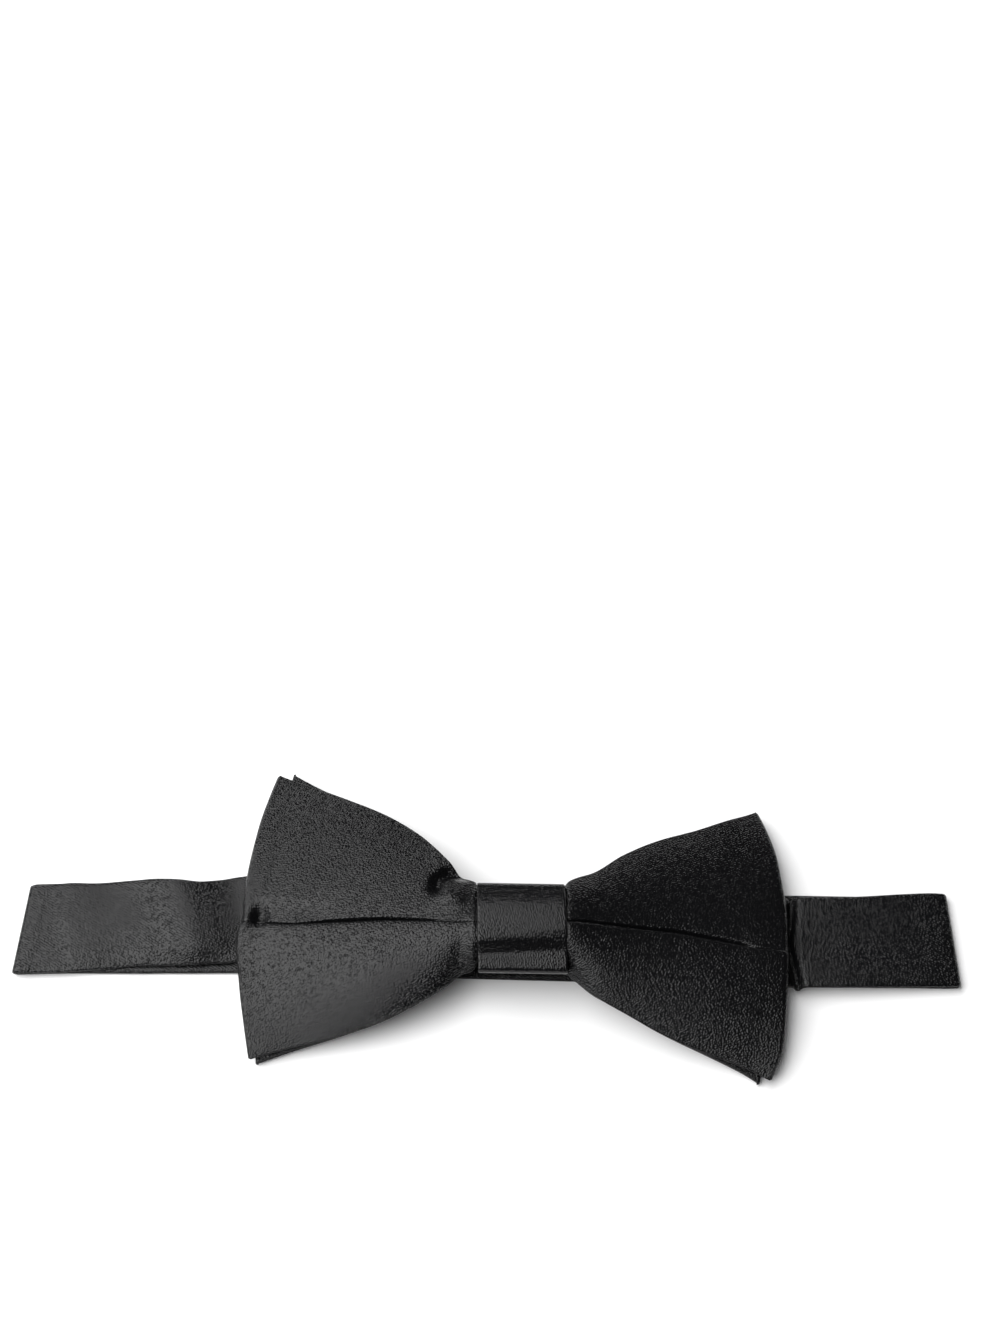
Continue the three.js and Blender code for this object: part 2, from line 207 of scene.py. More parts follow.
def rounded_rim(last: Array, before: Array, facing: Array, steps: int) -> Array:
    """Draws the half-round edge that closes a wall of cloth.

    Args:
        last: The outer face's last row, as (place, axis).
        before: The outer face's row before it.
        facing: The inner face's row that lies across the wall.
        steps: How many spans the half round has.

    Returns:
        The rim's own rows, as (place, row, axis).
    """
    centre = (last + facing) / 2
    arm = (last - facing) / 2
    way = last - before
    radius = np.linalg.norm(arm, axis=-1, keepdims=True)
    unit = arm / np.maximum(radius, 1e-9)
    way = way - unit * np.sum(way * unit, axis=-1, keepdims=True)
    way = way / np.maximum(np.linalg.norm(way, axis=-1, keepdims=True), 1e-9)
    rows = []
    for k in range(1, steps):
        angle = math.pi * k / steps
        rows.append(centre + arm * math.cos(angle) + way * radius * math.sin(angle))
    return np.stack(rows, axis=1)


@dataclass
class ClothWall:
    """A loop of cloth with a thickness: an outer face, an inner face and two rounded edges."""

    name: str
    outer: Array
    inner: Array
    rim_steps: int = 4

    def sections(self) -> Array:
        """Joins the two faces and the two edges.

        Returns:
            The closed sections, as (place along the loop, point round the wall, axis).
        """
        far = rounded_rim(self.outer[:, -1], self.outer[:, -2], self.inner[:, -1], self.rim_steps)
        near = rounded_rim(self.outer[:, 0], self.outer[:, 1], self.inner[:, 0], self.rim_steps)
        parts = [self.outer, far, self.inner[:, ::-1], near[:, ::-1]]
        return np.concatenate(parts, axis=1)

    def build(self) -> Object:
        """Makes the mesh, with its cloth's own measure in metres as the UV map.

        Returns:
            The new object, at the origin of the shared frame.
        """
        rings = self.sections()
        count, around = rings.shape[:2]
        points = ((rings + KNOT_PLACE) * MILLIMETRE).reshape(-1, 3)
        i, j = np.meshgrid(np.arange(count), np.arange(around), indexing="ij")
        next_i, next_j = (i + 1) % count, (j + 1) % around
        corners = [a * around + b for a, b in ((i, j), (next_i, j), (next_i, next_j), (i, next_j))]
        faces = np.stack(corners, axis=-1).reshape(-1, 4)
        if self.volume(points, faces) < 0:
            faces = faces[:, ::-1]
        mesh = bpy.data.meshes.new(self.name)
        mesh.from_pydata(points.tolist(), [], faces.tolist())
        mesh.polygons.foreach_set("use_smooth", [True] * len(mesh.polygons))
        self.measure(mesh, rings, faces)
        mesh.update()
        mesh.validate()
        piece = bpy.data.objects.new(self.name, mesh)
        bpy.context.scene.collection.objects.link(piece)
        return piece

    @staticmethod
    def volume(points: Array, faces: Array) -> float:
        """Finds the volume that the faces enclose.

        Args:
            points: The mesh's points.
            faces: The corners of each face.

        Returns:
            The volume, below zero where the faces look inwards.
        """
        a, b, c, d = (points[faces[:, k]] for k in range(4))
        first = np.einsum("ij,ij->i", a, np.cross(b, c))
        second = np.einsum("ij,ij->i", a, np.cross(c, d))
        return float((first + second).sum() / 6)

    def measure(self, mesh: Mesh, rings: Array, faces: Array) -> None:
        """Writes the UV map: how far along the strip and how far across it, in metres.

        Args:
            mesh: The mesh to write it to.
            rings: The wall's sections.
            faces: The corners of each face, in the mesh's order.
        """
        count, around = rings.shape[:2]
        steps_along = np.linalg.norm(np.roll(rings, -1, axis=0) - rings, axis=-1)
        along = np.concatenate([[0.0], np.cumsum(np.median(steps_along, axis=1))])
        steps_across = np.linalg.norm(np.roll(rings, -1, axis=1) - rings, axis=-1)
        across = np.concatenate([np.zeros((count, 1)), np.cumsum(steps_across, axis=1)], axis=1)
        across -= across[:, self.outer.shape[1] // 2, None]
        place_along, place_across = np.divmod(faces, around)
        wraps_along = place_along.max(axis=1, keepdims=True) - place_along > count // 2
        wraps_across = place_across.max(axis=1, keepdims=True) - place_across > around // 2
        u = along[np.where(wraps_along, count, place_along)]
        v = across[place_along, np.where(wraps_across, around, place_across)]
        layer = mesh.uv_layers.new(name="cloth")
        both = np.stack([u, v], axis=-1) * MILLIMETRE
        layer.data.foreach_set("uv", both.astype(np.float32).ravel())


# The bow's common shape

BAND_RUN = Profile(
    ("x", "height", "across", "across_low", "half"),
    (
        (-109.0, 1.6, -1.0, -0.4, 10.6),
        (-106.8, 1.75, -0.95, -0.3, 10.7),
        (-104.6, 1.6, -0.7, -0.2, 10.8),
        (-102.2, 1.6, -0.6, -0.1, 10.8),
        (-99.6, 2.1, -0.5, 0.0, 10.8),
        (-96.0, 2.1, -0.3, 0.1, 10.7),
        (-90.0, 2.0, 0.25, 0.2, 10.6),
        (-82.0, 2.3, 0.8, 0.3, 10.3),
        (-76.5, 3.3, 0.7, 0.45, 10.1),
        (-72.5, 3.7, 0.7, 0.5, 10.0),
        (-68.0, 3.1, 1.4, 0.6, 10.3),
        (-63.5, 2.1, 2.1, 0.7, 10.7),
        (-60.0, 1.6, 2.4, 0.75, 10.7),
        (-56.5, 1.7, 2.4, 0.8, 10.7),
        (-52.6, 4.4, 1.2, 0.8, 10.4),
        (-44.0, 4.9, 0.4, 0.8, 10.3),
        (-30.0, 6.1, -0.9, 0.7, 10.3),
        (-16.0, 6.8, -2.4, 0.4, 9.2),
        (-9.0, 6.8, -3.1, 0.3, 7.0),
        (0.0, 6.8, -3.1, 0.2, 7.0),
        (9.0, 6.8, -3.1, 0.1, 7.0),
        (16.0, 6.8, -3.0, 0.0, 9.4),
        (30.0, 6.1, -2.9, -0.1, 10.6),
        (57.0, 3.6, -2.1, -0.3, 10.8),
        (70.0, 3.2, -1.8, -0.3, 10.8),
        (76.0, 2.9, -1.4, -0.3, 10.9),
        (86.0, 2.3, -0.6, -0.2, 11.2),
        (92.0, 1.95, -0.2, -0.2, 11.3),
        (95.0, 1.7, -0.1, -0.1, 11.2),
    ),
)

WINGS = Profile(
    ("x", "top", "pleat", "bottom", "z_top", "z_pleat", "z_bottom",
     "droop_top", "droop_bottom", "rise", "step", "gape", "rear"),
    (
        (-60.8, 41.0, -2.0, -32.0, 2.6, 8.2, 2.6, 2.0, 1.3, 0.3, 0.8, 0.6, 4.6),
        (-56.7, 38.9, -2.4, -30.7, 2.9, 8.7, 2.8, 2.0, 1.3, 0.5, 1.3, 0.7, 5.0),
        (-48.5, 35.2, -3.2, -28.5, 4.2, 9.8, 3.4, 2.2, 1.5, 0.4, 1.4, 0.4, 6.0),
        (-39.4, 30.6, -3.3, -26.5, 6.2, 11.0, 4.5, 2.2, 1.8, 0.2, 1.7, 0.7, 6.6),
        (-30.3, 25.6, -3.4, -24.0, 8.0, 12.3, 6.0, 2.2, 2.1, 0.1, 1.7, 0.7, 7.3),
        (-22.2, 19.4, -3.8, -20.4, 9.9, 13.4, 7.6, 2.2, 2.1, 0.1, 1.5, 0.5, 7.75),
        (-15.6, 11.8, -4.3, -16.5, 12.3, 14.5, 8.8, 1.8, 2.1, 0.1, 1.2, 0.3, 7.95),
        (-11.7, 7.7, -4.6, -13.7, 12.5, 15.1, 9.5, 1.5, 2.2, 0.1, 1.0, 0.3, 7.95),
        (-10.1, 6.8, -4.7, -13.4, 12.4, 15.5, 9.9, 1.4, 2.4, 0.1, 0.9, 0.3, 7.95),
        (-9.4, 6.5, -4.7, -12.9, 12.3, 15.7, 10.6, 1.4, 2.6, 0.1, 0.7, 0.3, 7.95),
        (-8.7, 4.4, -4.7, -11.6, 13.2, 15.9, 12.0, 2.0, 2.4, 0.1, 0.5, 0.3, 7.95),
        (0.0, 3.8, -4.0, -11.0, 13.6, 16.0, 12.8, 2.0, 2.4, 0.1, 0.4, 0.3, 7.95),
        (9.0, 4.0, -4.5, -11.2, 13.6, 16.2, 12.4, 2.0, 2.4, 0.1, 0.5, 0.3, 7.95),
        (9.6, 5.0, -5.0, -12.4, 14.0, 16.9, 11.2, 2.0, 2.4, 0.1, 0.7, 0.3, 7.95),
        (10.4, 6.0, -5.3, -14.0, 14.3, 17.2, 10.8, 2.0, 2.2, 0.1, 1.2, 0.45, 7.95),
        (12.0, 7.1, -5.2, -15.4, 13.9, 16.9, 11.0, 2.0, 2.0, 0.1, 1.3, 0.5, 7.95),
        (16.1, 9.4, -5.0, -18.8, 12.4, 15.7, 10.5, 2.0, 1.9, 0.1, 1.5, 0.6, 7.95),
        (22.8, 15.2, -5.0, -22.0, 10.0, 14.0, 8.7, 2.1, 2.0, 0.1, 1.6, 0.7, 7.8),
        (30.8, 20.1, -5.0, -25.6, 8.0, 12.4, 6.4, 2.2, 2.1, 0.1, 1.6, 0.8, 7.3),
        (39.9, 24.0, -5.8, -28.6, 6.2, 11.0, 4.5, 2.2, 2.0, 0.1, 1.7, 1.0, 6.6),
        (47.5, 27.6, -6.6, -31.1, 4.8, 9.9, 3.4, 2.2, 1.8, 0.1, 1.4, 0.8, 5.9),
        (52.5, 29.7, -6.9, -33.2, 3.7, 9.3, 2.9, 2.2, 1.6, 0.1, 0.3, 0.4, 5.4),
        (58.8, 32.5, -6.9, -35.4, 2.7, 8.4, 2.7, 2.2, 1.5, 0.0, 0.06, 0.3, 4.8),
    ),
)

OUTER_FOLD = Profile(
    ("across", "left", "right"),
    (
        (-1.0, 56.4, 52.9),
        (-0.75, 57.8, 55.2),
        (-0.45, 59.3, 56.1),
        (-0.1, 60.4, 56.8),
        (0.06, 59.7, 57.2),
        (0.3, 60.0, 57.8),
        (0.6, 59.3, 57.5),
        (0.85, 58.0, 56.1),
        (1.0, 57.1, 54.9),
    ),
)

DENTS = (
    Crease(((-17.8, 1.5), (-18.2, 4.5), (-17.6, 7.2), (-15.6, 8.8), (-13.2, 8.8), (-11.0, 7.7),
            (-9.6, 6.6)), -1.6, 1.4, 0.28),
    Dent(-14.4, 8.4, -0.6, 2.8, 1.5),
    Crease(((-8.95, 7.0), (-8.8, -4.0), (-8.55, -13.5)), -0.9, 0.42, 0.0),
    Dent(-14.4, 2.4, 0.7, 2.8, 2.8),
    Dent(-56.6, 0.2, -1.9, 2.0, 2.0),
    Dent(-48.0, 0.4, -0.5, 6.5, 2.4),
    Crease(((-11.4, -6.5), (-13.2, -11.0), (-15.5, -17.0)), -0.25, 1.0, 0.3),
)

BAND_DENTS = (
    Crease(((60.4, 10.5), (60.1, 7.8), (59.9, 4.1), (59.2, 0.6), (58.5, -1.9), (59.1, -6.5),
            (60.1, -14.0)), -2.0, 0.8, 0.0),
    Dent(-66.0, 12.5, -0.5, 7.0, 5.0),
    Dent(-88.0, -9.0, -0.35, 5.0, 5.0),
    Dent(-93.0, 9.5, -0.35, 5.0, 4.5),
)


@dataclass
class BowShape:
    """What the front bow and the rear leaf have in common: their plan and how they lie."""

    half_length: float = 60.8
    rear_thick: float = 1.0
    cloth: float = 0.5
    gap: float = 0.12
    lie_drop: float = 1.92
    fold_curve: float = 1.5
    droop_curve: float = 1.5
    furthest: float = 1.05

    def plan(self, along: Array, across: Array, inset: float | Array = 0.0,
             seam: float = 0.0, rim: float = 0.0) -> tuple[Array, Array]:
        """Finds points of the bow's plan.

        Args:
            along: Shares of the half length, from -1 at the left fold to +1 at the right.
            across: Places across a wing, from -1 at its lower edge by 0 at the pleat to +1.
            inset: How far the outer folds are drawn in.
            seam: Half of the strip left free along the pleat.
            rim: How far the long edges are drawn in.

        Returns:
            The points' x and y.
        """
        left = OUTER_FOLD.read("left", across)
        right = OUTER_FOLD.read("right", across)
        reach = np.where(along < 0, left, right) - inset
        drawn_in = (self.half_length - reach) * np.abs(along) ** self.fold_curve
        x = along * (self.half_length - drawn_in)
        side = np.where(across < 0, -1.0, 1.0)
        start = WINGS.read("pleat", x) + side * seam
        low = WINGS.read("bottom", x) + rim
        high = WINGS.read("top", x) - rim
        edge = np.where(across < 0, low, high)
        return x, start + np.abs(across) * (edge - start)

    def rear_height(self, x: Array, y: Array) -> Array:
        """Finds the rear leaf's height: level on the band and drooping past its edges.

        Args:
            x: Where to find it.
            y: The same places' y.

        Returns:
            The heights of the middle of the leaf.
        """
        level = WINGS.read("rear", x)
        is_top = y > WINGS.read("pleat", x)
        corner = np.where(is_top, WINGS.read("z_top", x), WINGS.read("z_bottom", x))
        lie = np.minimum(corner - self.lie_drop, level)
        edge = np.where(is_top, WINGS.read("top", x), WINGS.read("bottom", x))
        side = np.where(is_top, 1.0, -1.0)
        band_edge = BAND_RUN.read("across", x) + side * BAND_RUN.read("half", x)
        reach = np.abs(edge) - np.abs(band_edge)
        past = (np.abs(y) - np.abs(band_edge)) / np.where(reach > 0, reach, 1.0)
        past = np.clip(past, 0, self.furthest)
        return np.where(reach > 0, level + (lie - level) * past ** self.droop_curve, level)

    def back_height(self, x: Array, y: Array) -> Array:
        """Finds the height of the underside of the front bow's back leaf."""
        return self.rear_height(x, y) + self.rear_thick / 2 + self.gap


def fold_between(start: Array, end: Array, side: float, steps: int) -> Array:
    """Draws the half circles of an outer fold, from one leaf's end to the other's.

    Args:
        start: The points that the fold leaves, as (row, axis).
        end: The points that it reaches.
        side: +1 where the fold bulges towards +X and -1 towards -X.
        steps: How many spans the fold has.

    Returns:
        The fold's own points, as (step, row, axis).
    """
    centre = (start + end) / 2
    radius = np.abs(start[:, 2] - end[:, 2]) / 2
    turn = np.sign(start[:, 2] - end[:, 2])
    lines = []
    for k in range(1, steps):
        angle = math.pi * k / steps
        points = centre.copy()
        points[:, 0] += side * radius * math.sin(angle)
        points[:, 2] += turn * radius * math.cos(angle)
        lines.append(points)
    return np.stack(lines)


def length_round(line: Array) -> float:
    """Measures the length round a closed line of points in a plane."""
    return float(np.hypot(*(np.roll(line, -1, axis=0) - line).T).sum())


# Finishes


def linear(code: str) -> tuple[float, float, float, float]:
    """Turns an sRGB hex colour into linear light.

    Args:
        code: The colour, as # and six hex digits.

    Returns:
        Red, green, blue and an alpha of 1.
    """
    parts = [int(code[k:k + 2], 16) / 255 for k in (1, 3, 5)]
    light = [p / 12.92 if p <= 0.04045 else ((p + 0.055) / 1.055) ** 2.4 for p in parts]
    return (light[0], light[1], light[2], 1.0)


def add_node(tree: NodeTree, kind: str, settings: dict[str, object] | None = None,
             links: dict[str | int, NodeSocket] | None = None) -> Node:
    """Adds a node with its settings and links.

    Args:
        tree: The node tree.
        kind: The node's type, without the shader node prefix.
        settings: Values of its inputs, under their names, and of its own properties.
        links: What each input, by name or number, is linked from.

    Returns:
        The new node.
    """
    node = tree.nodes.new(f"ShaderNode{kind}")
    for name, value in (settings or {}).items():
        if name in node.inputs:
            node.inputs[name].default_value = value
        else:
            setattr(node, name, value)
    for name, source in (links or {}).items():
        tree.links.new(source, node.inputs[name])
    return node


def empty_material(name: str) -> Material:
    """Makes a material without nodes.

    Args:
        name: What the real material is.

    Returns:
        The material, ready for its nodes.
    """
    made = bpy.data.materials.new(name)
    made.use_nodes = True
    made.node_tree.nodes.clear()
    return made


def add_shader(tree: NodeTree, settings: dict[str, object],
               links: dict[str | int, NodeSocket] | None = None) -> None:
    """Adds the surface's shader and the output that it goes to.

    Args:
        tree: The material's node tree.
        settings: The shader's values.
        links: What its inputs are linked from.
    """
    shader = add_node(tree, "BsdfPrincipled", settings, links)
    add_node(tree, "OutputMaterial", {}, {"Surface": shader.outputs["BSDF"]})


@dataclass(frozen=True)
class SatinFinish:
    """Polyester satin: long floats of yarn over a fine diagonal rib. Lengths in millimetres."""

    name: str
    colour: str = "#0b0b0c"
    roughness: float = 0.2
    roughness_spread: float = 0.03
    patch: float = 9.0
    gloss: float = 0.28
    rib_pitch: float = 0.5
    rib_angle: float = 58.0
    rib_waver: float = 1.2
    rib_share: float = 0.1
    grain: float = 0.28
    grain_narrowing: float = 0.6
    relief: float = 0.22

    def material(self) -> Material:
        """Makes the material from the cloth's own UV measure.

        Returns:
            The material.
        """
        # Gives the eye a deep black that lights up softly where a fold faces the light, with the
        # weave as a fine sparkle
        made = empty_material(self.name)
        tree = made.node_tree
        uv = add_node(tree, "UVMap", {"uv_map": "cloth"})
        turn = (0.0, 0.0, math.radians(self.rib_angle))
        turned = add_node(tree, "Mapping", {"Rotation": turn}, {"Vector": uv.outputs["UV"]})
        rib_scale = WAVE_PERIOD / (self.rib_pitch * MILLIMETRE)
        ribs = add_node(tree, "TexWave", {"Scale": rib_scale, "Distortion": self.rib_waver,
                                          "Detail": 1.0, "Detail Scale": 2.0},
                        {"Vector": turned.outputs["Vector"]})
        floats = add_node(tree, "Mapping", {"Scale": (1.0, self.grain_narrowing, 1.0)},
                          {"Vector": turned.outputs["Vector"]})
        speckle = add_node(tree, "TexNoise",
                           {"Scale": 1.0 / (self.grain * MILLIMETRE), "Detail": 0.0},
                           {"Vector": floats.outputs["Vector"]})
        both = add_node(tree, "Mix", {"data_type": "FLOAT", "Factor": 1.0 - self.rib_share},
                        {2: ribs.outputs["Fac"], 3: speckle.outputs["Fac"]})
        bump = add_node(tree, "Bump", {"Strength": 1.0, "Distance": self.relief * MILLIMETRE},
                        {"Height": both.outputs[0]})
        patches = add_node(tree, "TexNoise",
                           {"Scale": 1.0 / (self.patch * MILLIMETRE), "Detail": 2.0},
                           {"Vector": uv.outputs["UV"]})
        rough = add_node(tree, "MapRange", {"To Min": self.roughness - self.roughness_spread,
                                            "To Max": self.roughness + self.roughness_spread},
                         {"Value": patches.outputs["Fac"]})
        add_shader(tree, {"Base Color": linear(self.colour), "IOR": 1.5,
                          "Specular IOR Level": self.gloss},
                   {"Roughness": rough.outputs["Result"], "Normal": bump.outputs["Normal"]})
        return made


@dataclass(frozen=True)
class EnamelFinish:
    """Black stoved enamel on pressed steel. Lengths in millimetres."""

    name: str = "black_enamel_on_steel"
    colour: str = "#1c1c1e"
    roughness: float = 0.32
    ripple: float = 0.9
    relief: float = 0.02

    def material(self) -> Material:
        """Makes the material from Object coordinates.

        Returns:
            The material.
        """
        # Gives the eye a harder, smoother shine than the cloth's, with a faint ripple
        made = empty_material(self.name)
        tree = made.node_tree
        place = add_node(tree, "TexCoord")
        peel = add_node(tree, "TexNoise",
                        {"Scale": 1.0 / (self.ripple * MILLIMETRE), "Detail": 1.0},
                        {"Vector": place.outputs["Object"]})
        bump = add_node(tree, "Bump", {"Strength": 0.2, "Distance": self.relief * MILLIMETRE},
                        {"Height": peel.outputs["Fac"]})
        add_shader(tree, {"Base Color": linear(self.colour), "Roughness": self.roughness,
                          "IOR": 1.5}, {"Normal": bump.outputs["Normal"]})
        return made


@dataclass(frozen=True)
class FloorFinish:
    """Matt white paper."""

    name: str = "matt_white_paper"
    colour: str = "#f4f4f4"
    roughness: float = 0.9
    gloss: float = 0.1

    def material(self) -> Material:
        """Makes the material.

        Returns:
            The material.
        """
        # Gives the eye an even white ground without shine
        made = empty_material(self.name)
        add_shader(made.node_tree, {"Base Color": linear(self.colour),
                                    "Roughness": self.roughness, "Specular IOR Level": self.gloss})
        return made


# The pieces


@dataclass(frozen=True)
class LeafGrid:
    """Where a leaf's points lie: shares of the half length, places across and roll angles.

    Each row's angle is the one on the pleat's roll, or nan off it.
    """

    along: Array
    across: Array
    angles: Array


@dataclass
class GatheredStrip:
    """A strip of satin that is cut narrower at its waist and gathered there."""

    shape: BowShape
    node: str
    flat_width: float
    flat_length: float
    waisted: float = 0.8

    def dress(self, piece: Object, satin: Material, neighbours: list[Object]) -> None:
        """Gives the strip its satin, puts it on the part's body and hides its CAD node.

        Args:
            piece: The strip.
            satin: The bow's satin.
            neighbours: The pieces that it rests on; not used.
        """
        piece.data.materials.append(satin)
        attach(piece, self.node)


@dataclass
class FrontBow(GatheredStrip):
    """One strip looped into two hollow wings, gathered at the waist and pleated in front."""

    node: str = "front_bow"
    flat_width: float = 68.0
    flat_length: float = 238.0
    seam: float = 0.25
    sink: float = 0.3
    back_inset: float = 0.6
    valley_width: float = 2.6
    roll_spans: int = 6
    near_low: tuple[float, ...] = (0.5, 0.9, 1.4, 2.0, 2.8)
    near_high: tuple[float, ...] = (0.5, 0.75, 0.9, 1.05, 1.2, 1.35, 1.55, 1.8, 2.2, 2.8)
    far_rows: int = 34
    inner_rows: int = 49
    stretches: tuple[tuple[float, float, int], ...] = (
        (0, 0.15, 5), (0.15, 0.45, 42), (0.45, 0.9, 40), (0.9, 1.0, 14),
    )
    slot_start: float = 0.05
    slot_reach: float = 1.3
    fold_steps: int = 8
    fold_gap: float = 0.3
    fold_curve: int = 12
    marks: tuple[Crease | Dent, ...] = DENTS

    def relief(self, x: Array, y: Array) -> Array:
        """Adds up the dents and creases of the front leaf.

        Args:
            x: Where to read them.
            y: The same places' y.

        Returns:
            The heights to add.
        """
        total = np.zeros(np.shape(x))
        for mark in self.marks:
            total = total + mark.lift(x, y)
        return total

    def outer_grid(self, along: Array) -> LeafGrid:
        """Places the outer face's rows, close together beside the pleat.

        Args:
            along: Shares of the half length.

        Returns:
            The face's grid, with its places across as (place along, row).
        """
        x = along[:, None] * self.shape.half_length
        pleat = WINGS.read("pleat", x)
        angles = np.linspace(math.pi / 2, -math.pi / 2, self.roll_spans + 1)
        halves = []
        for edge, near in (("bottom", self.near_low), ("top", self.near_high)):
            width = np.abs(WINGS.read(edge, x) - pleat)
            far = near[-1] + (width - near[-1]) * np.linspace(0, 1, self.far_rows + 1)[1:]
            beside = np.broadcast_to(np.array(near), (len(along), len(near)))
            halves.append(np.concatenate([beside, far], axis=1) / width)
        low, high = halves
        middle = np.zeros((len(along), len(angles)))
        across = np.concatenate([-low[:, ::-1], middle, high], axis=1)
        off_low, off_high = (np.full(half.shape[1], np.nan) for half in halves)
        return LeafGrid(along, across, np.concatenate([off_low, angles, off_high]))

    def spread(self, grid: LeafGrid) -> Array:
        """Spreads the roll's rows beside the pleat's line.

        Args:
            grid: Where the points lie.

        Returns:
            How far each row lies from the line, which is 0 off the roll.
        """
        on_roll = ~np.isnan(grid.angles)
        spread = np.zeros(len(on_roll))
        spread[on_roll] = np.linspace(-self.seam, self.seam, int(on_roll.sum()))
        return spread

    def leaf(self, grid: LeafGrid) -> tuple[Array, ...]:
        """Shapes the front leaf without the pleat's slot.

        Args:
            grid: Where the points lie.

        Returns:
            The points' x, y and height, and how far they are from the pleat's line.
        """
        x, y = self.shape.plan(grid.along[:, None], grid.across, seam=self.seam,
                               rim=self.shape.cloth / 2)
        half = np.abs(grid.across)
        ridge = WINGS.read("z_pleat", x)
        away = np.abs(y - WINGS.read("pleat", x))
        fall = WINGS.read("z_bottom", x) - ridge
        low = ridge + fall * half ** WINGS.read("droop_bottom", x)
        rise = WINGS.read("rise", x)
        shoulder = ridge - self.sink - rise
        risen = rise * (1 - np.exp(-((away / self.valley_width) ** 2)))
        fall = WINGS.read("z_top", x) - shoulder - rise
        high = shoulder + risen + fall * half ** WINGS.read("droop_top", x)
        height = np.where(grid.across < 0, low, high) + self.relief(x, y)
        return x, y, height, away

    def face(self, grid: LeafGrid) -> Array:
        """Shapes the outer face: its lower half rolls over and hides the slot behind it.

        Args:
            grid: Where the points lie.

        Returns:
            Points as (place along, row, axis).
        """
        x, y, height, away = self.leaf(grid)
        step = WINGS.read("step", x)
        slot = (away - step / 2 - self.slot_start) / WINGS.read("gape", x)
        wall = eased(np.clip(slot, 0, 1))
        sunk = height - np.maximum(step - self.sink, 0) * (1 - wall)
        height = np.where(grid.across > 0, sunk, height)
        off_roll = np.isnan(grid.angles)[None, :]
        turn = np.where(off_roll, 0.0, grid.angles[None, :])
        pleat = WINGS.read("pleat", x)
        ridge = WINGS.read("z_pleat", x) + self.relief(x, y)
        rolled = pleat + self.spread(grid)[None, :] + step / 2 * np.cos(turn)
        y = np.where(off_roll, y, rolled)
        height = np.where(off_roll, height, ridge - step / 2 * (1 - np.sin(turn)))
        return np.stack([x, y, height], axis=-1)

    def lining(self, grid: LeafGrid) -> Array:
        """Shapes the front leaf's inner face, which passes below the pleat's slot.

        Args:
            grid: Where the points lie.

        Returns:
            Points as (place along, row, axis).
        """
        x, y, height, away = self.leaf(grid)
        deep = WINGS.read("step", x) * np.exp(-((away / self.slot_reach) ** 2))
        return np.stack([x, y, height - self.shape.cloth - deep], axis=-1)

    def loop(self, face: Array, underside: Array) -> Array:
        """Joins a face over the wings and a face under them by the outer folds.

        Args:
            face: The upper face, from left to right.
            underside: The lower face, from left to right.

        Returns:
            The closed lines, as (place, row, axis).
        """
        back = underside[::-1]
        right_fold = fold_between(face[-1], back[0], 1, self.fold_steps)
        left_fold = fold_between(back[-1], face[0], -1, self.fold_steps)
        return np.concatenate([face, right_fold, back, left_fold])

    def draw_in(self, points: Array, along: Array) -> None:
        """Draws a face's ends in by the outer fold's radius."""
        fold = (2 * self.shape.cloth + self.fold_gap) / 2
        points[..., 0] -= (np.sign(along) * fold * np.abs(along) ** self.fold_curve)[:, None]

    def build(self) -> Object:
        """Makes the looped strip with its wall.

        Returns:
            The strip.
        """
        parts = [np.linspace(a, b, count, endpoint=False) for a, b, count in self.stretches]
        right = np.concatenate([*parts, [1.0]])
        along = np.concatenate([-right[:0:-1], right])
        outside = self.outer_grid(along)
        across = np.linspace(-1, 1, self.inner_rows)
        inside = LeafGrid(along, np.broadcast_to(across, (len(along), self.inner_rows)),
                          np.full(self.inner_rows, np.nan))
        face, under = self.face(outside), self.back(outside)
        lining, pocket = self.lining(inside), self.back(inside)
        for points in (face, under, lining, pocket):
            self.draw_in(points, along)
        pocket[..., 2] += self.shape.cloth
        outer, inner = self.loop(face, under), self.loop(lining, pocket)
        return ClothWall("front_bow_cloth", outer, inner).build()

    def back(self, grid: LeafGrid) -> Array:
        """Shapes the back leaf's underside.

        Args:
            grid: Where the points lie.

        Returns:
            Points as (place along, row, axis).
        """
        x, y = self.shape.plan(grid.along[:, None], grid.across, seam=self.seam,
                               rim=self.shape.cloth / 2 + self.back_inset)
        rolled = WINGS.read("pleat", x) + self.spread(grid)[None, :]
        y = np.where(np.isnan(grid.angles)[None, :], y, rolled)
        return np.stack([x, y, self.shape.back_height(x, y)], axis=-1)


